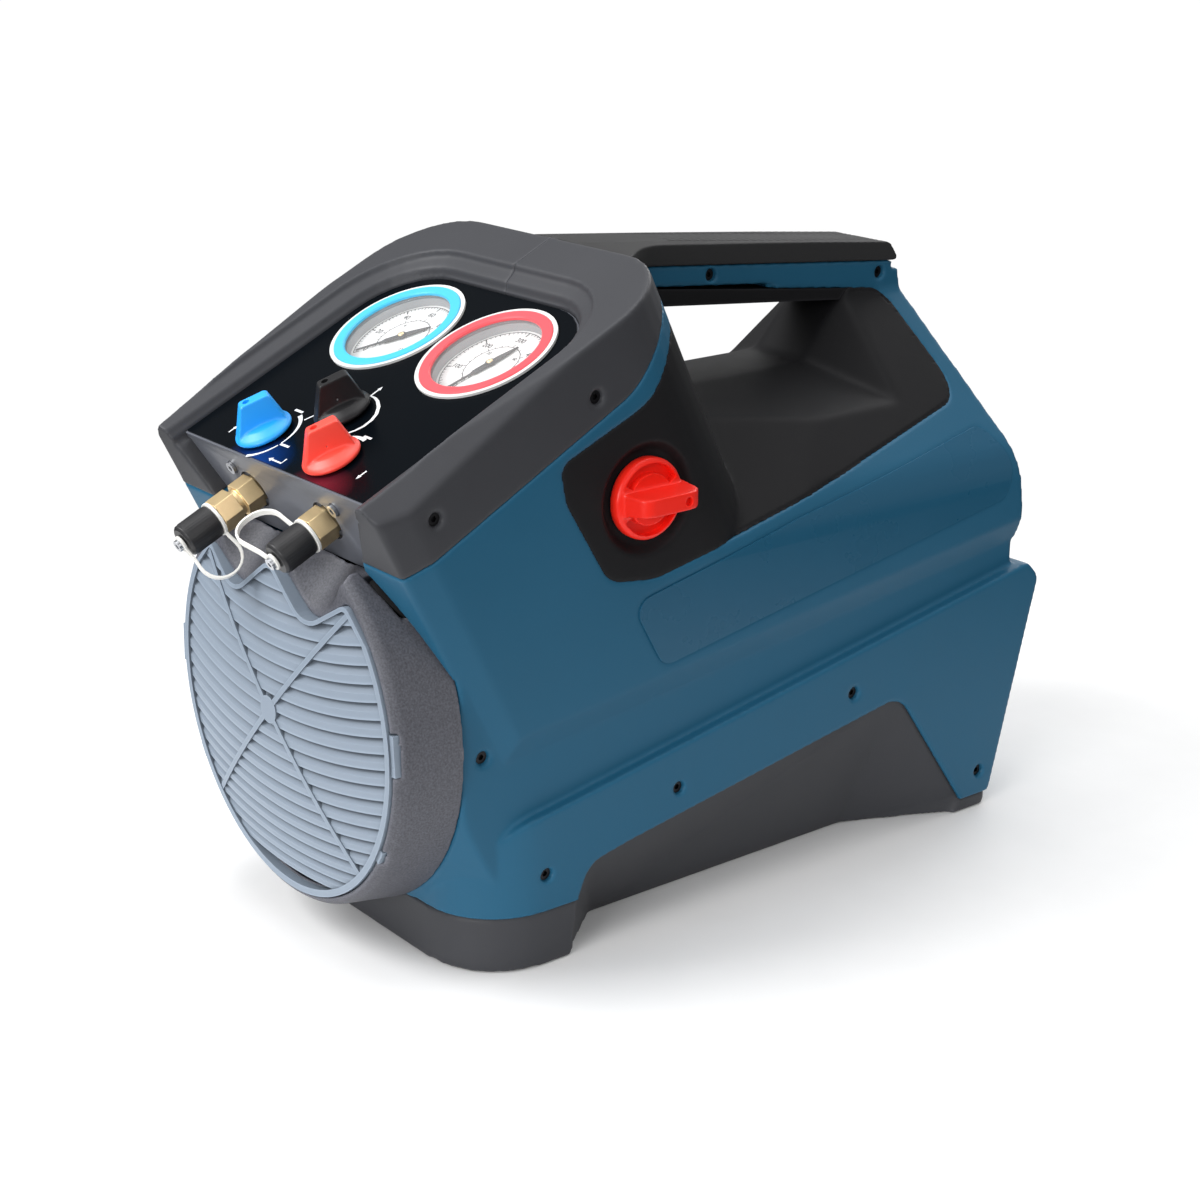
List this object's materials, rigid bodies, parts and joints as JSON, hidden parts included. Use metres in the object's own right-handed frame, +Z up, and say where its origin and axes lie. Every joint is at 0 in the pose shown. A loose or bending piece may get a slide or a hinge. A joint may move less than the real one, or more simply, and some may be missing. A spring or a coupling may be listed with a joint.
{
  "type": "refrigerant recovery machine",
  "caption": "Portable refrigerant recovery machine in a moulded carrying case with louvred fan front, tilted gauge and valve panel, capped flare ports and a side power switch",
  "frame": {"origin": "on the floor, in the middle of the base footprint", "axes": "+X to the power-switch side, +Y from the grille to the rear, +Z up"},
  "size_m": [0.2286, 0.4531, 0.3285],
  "materials": {
    "petrol_moulding": "fine-grained satin moulding",
    "charcoal_moulding": "satin moulding",
    "shroud_moulding": "coarse-grained moulding",
    "grille_grey": "satin moulding",
    "panel_black": "glossy printed film",
    "grip_rubber": "matt soft grip",
    "gauge_black": "satin paint",
    "gauge_white": "satin white",
    "gauge_cyan": "gloss",
    "gauge_red": "gloss",
    "needle_black": "matt",
    "gauge_glass": "clear",
    "knob_blue": "satin",
    "knob_red": "satin",
    "knob_black": "satin",
    "steel": "machined",
    "cast_aluminium": "as cast",
    "brass": "machined",
    "copper": "drawn copper tube",
    "cap_black": "satin",
    "strap_white": "soft strap",
    "switch_red": "satin gloss",
    "screw_black": "blackened steel"
  },
  "bodies": {
    "case": {"side_panel_right": "petrol_moulding", "side_panel_left": "petrol_moulding", "hood_right": "charcoal_moulding", "hood_left": "charcoal_moulding", "control_panel": "charcoal_moulding", "panel_overlay": "panel_black", "front_shroud": "shroud_moulding", "intake_grille": "grille_grey", "base": "charcoal_moulding", "handle_liner": "charcoal_moulding", "handle_underside": "charcoal_moulding", "handle_grip": "grip_rubber", "gauge_case_low": "gauge_black", "gauge_case_high": "gauge_black", "gauge_trim_low": "gauge_white", "gauge_trim_high": "gauge_white", "gauge_bezel_low": "gauge_cyan", "gauge_bezel_high": "gauge_red", "gauge_dial_low": "gauge_white", "gauge_dial_high": "gauge_white", "gauge_lens_low": "gauge_glass", "gauge_lens_high": "gauge_glass", "manifold": "cast_aluminium", "inlet_port": "brass", "outlet_port": "brass", "power_switch": "cap_black", "motor": "cast_aluminium", "shaft_bearings": "steel", "compressor": "cast_aluminium", "condenser_coil": "cast_aluminium", "refrigerant_lines": "copper", "pressure_switch": "steel", "start_capacitor": "cap_black", "power_inlet": "cap_black", "case_screws": "screw_black", "hood_screws": "screw_black", "handle_screws": "screw_black", "plate_screws": "screw_black"},
    "inlet_valve": {"inlet_knob": "knob_blue", "inlet_stem": "steel"},
    "outlet_valve": {"outlet_knob": "knob_red", "outlet_stem": "steel"},
    "mode_valve": {"mode_knob": "knob_black", "mode_stem": "steel"},
    "power_rotary": {"power_knob": "switch_red", "power_shaft": "steel"},
    "low_pointer": {"gauge_needle_low": "needle_black"},
    "high_pointer": {"gauge_needle_high": "needle_black"},
    "fan_rotor": {"fan": "cap_black", "motor_shaft": "steel"},
    "inlet_strap": {"inlet_tether": "strap_white"},
    "outlet_strap": {"outlet_tether": "strap_white"},
    "inlet_closure": {"inlet_cap": "cap_black", "inlet_cap_screw": "steel"},
    "outlet_closure": {"outlet_cap": "cap_black", "outlet_cap_screw": "steel"}
  },
  "joints": [
    {"name": "inlet_valve_turn", "type": "hinge", "parent": "case", "child": "inlet_valve", "pos_m": [-0.0305, -0.19666, 0.24632], "axis": [0, -0.4305, 0.9026], "range_deg": [0, 180]},
    {"name": "outlet_valve_turn", "type": "hinge", "parent": "case", "child": "outlet_valve", "pos_m": [0.0305, -0.19666, 0.24632], "axis": [0, -0.4305, 0.9026], "range_deg": [0, 90]},
    {"name": "mode_valve_turn", "type": "hinge", "parent": "case", "child": "mode_valve", "pos_m": [0, -0.17138, 0.25837], "axis": [0, -0.4305, 0.9026], "range_deg": [0, 180]},
    {"name": "power_switch_turn", "type": "hinge", "parent": "case", "child": "power_rotary", "pos_m": [0.1, -0.071, 0.222], "axis": [1, 0, 0], "range_deg": [0, 90]},
    {"name": "low_pointer_turn", "type": "hinge", "parent": "case", "child": "low_pointer", "pos_m": [-0.0378, -0.11282, 0.28077], "axis": [0, 0.4305, -0.9026], "range_deg": [0, 270], "stiffness_Nm_per_rad": 0.002},
    {"name": "high_pointer_turn", "type": "hinge", "parent": "case", "child": "high_pointer", "pos_m": [0.0378, -0.11282, 0.28077], "axis": [0, 0.4305, -0.9026], "range_deg": [0, 270], "stiffness_Nm_per_rad": 0.002},
    {"name": "fan_spin", "type": "hinge", "parent": "case", "child": "fan_rotor", "pos_m": [0, -0.1, 0.1196], "axis": [0, 1, 0], "continuous": true},
    {"name": "inlet_cap_slide", "type": "slide", "parent": "case", "child": "inlet_strap", "axis": [0, -0.9026, -0.4305], "range_m": [0, 0.00635]},
    {"name": "inlet_cap_turn", "type": "hinge", "parent": "inlet_strap", "child": "inlet_closure", "pos_m": [-0.033, -0.20236, 0.21878], "axis": [0, -0.9026, -0.4305], "range_deg": [0, 1800]},
    {"name": "outlet_cap_slide", "type": "slide", "parent": "case", "child": "outlet_strap", "axis": [0, -0.9026, -0.4305], "range_m": [0, 0.00635]},
    {"name": "outlet_cap_turn", "type": "hinge", "parent": "outlet_strap", "child": "outlet_closure", "pos_m": [0.033, -0.20236, 0.21878], "axis": [0, -0.9026, -0.4305], "range_deg": [0, 1800]}
  ],
  "couplings": [
    {"joint": "inlet_cap_slide", "follows": "inlet_cap_turn", "m_per_rad": 0.00020213},
    {"joint": "outlet_cap_slide", "follows": "outlet_cap_turn", "m_per_rad": 0.00020213}
  ]
}
